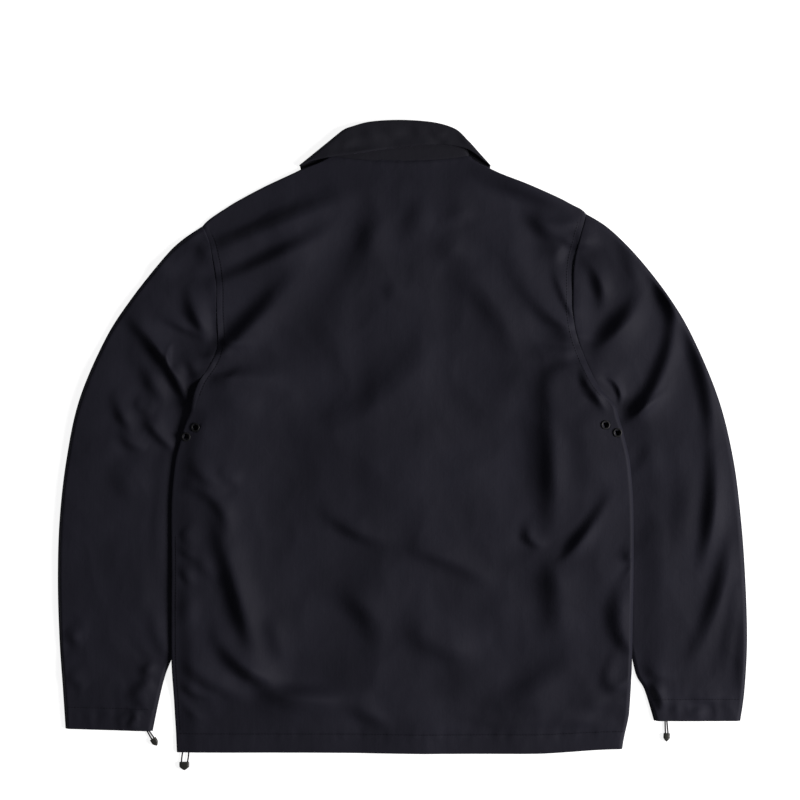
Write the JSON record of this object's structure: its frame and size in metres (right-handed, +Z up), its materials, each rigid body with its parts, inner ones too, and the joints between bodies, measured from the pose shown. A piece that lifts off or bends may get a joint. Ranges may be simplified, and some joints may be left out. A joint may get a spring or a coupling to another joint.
{
  "type": "coach jacket",
  "caption": "Coach jacket in thin dark nylon, laid flat face down: back panel, set-in sleeves tucked under its sides, folded collar, vent eyelets, cord loops with stops at the hem and cuffs.",
  "frame": {"origin": "middle of the jacket's outline on the surface it lies on, without the cords and their stops", "axes": "+Z up, out of the back panel; +Y from the hem to the collar; +X towards the wearer's right sleeve"},
  "size_m": [0.806, 0.7592, 0.0165],
  "materials": {
    "shell": "fine plain-weave nylon with a soft satin sheen",
    "metal": "black paint, semi-gloss",
    "cord": "braided elastic, matt",
    "plastic": "moulded, matt, fine ridges"
  },
  "bodies": {
    "root": {"back": "shell", "front_left": "shell", "front_right": "shell", "sleeve_left": "shell", "sleeve_right": "shell", "collar": "shell", "eyelet_1": "metal", "eyelet_2": "metal", "eyelet_3": "metal", "eyelet_4": "metal", "snap_1": "metal", "snap_2": "metal", "snap_3": "metal", "snap_4": "metal", "snap_5": "metal", "drawcord_hem": "cord", "drawcord_cuff_left": "cord", "drawcord_cuff_right": "cord", "toggle_hem": "plastic", "toggle_cuff_left": "plastic", "toggle_cuff_right": "plastic"}
  },
  "joints": []
}
